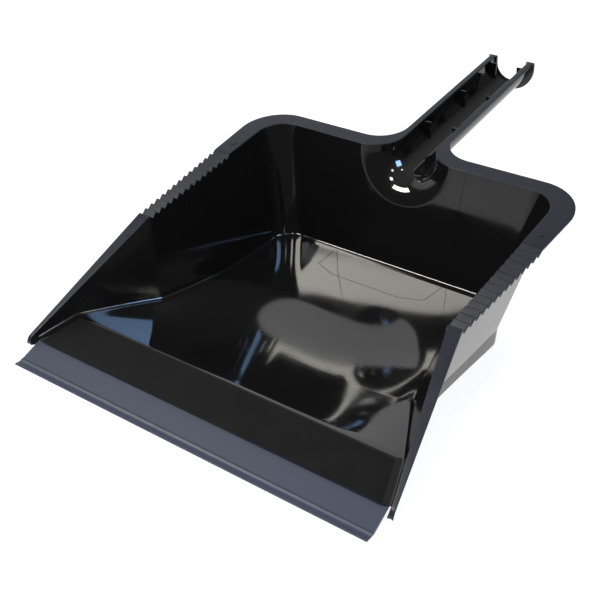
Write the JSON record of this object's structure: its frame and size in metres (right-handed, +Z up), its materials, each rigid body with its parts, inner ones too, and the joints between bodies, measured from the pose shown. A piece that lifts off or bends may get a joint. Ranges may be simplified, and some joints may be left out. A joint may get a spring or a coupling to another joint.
{
  "type": "dustpan",
  "caption": "Large moulded dustpan with deep walls, toothed rim sides, an open channel handle and a soft blade lip along the mouth.",
  "frame": {"origin": "centre of the bounding box, on the ground plane that the foot and the lip's front edge rest on", "axes": "+Z up, -Y out of the mouth, +Y along the handle, +X to the right seen from the mouth"},
  "size_m": [0.3236, 0.5072, 0.1783],
  "materials": {
    "pan_plastic": "glossy black moulding, satin on the rim, the teeth and the ramp",
    "lip_rubber": "satin blue-grey elastomer"
  },
  "bodies": {
    "root": {"dustpan_body": "pan_plastic", "front_lip": "lip_rubber"}
  },
  "joints": []
}
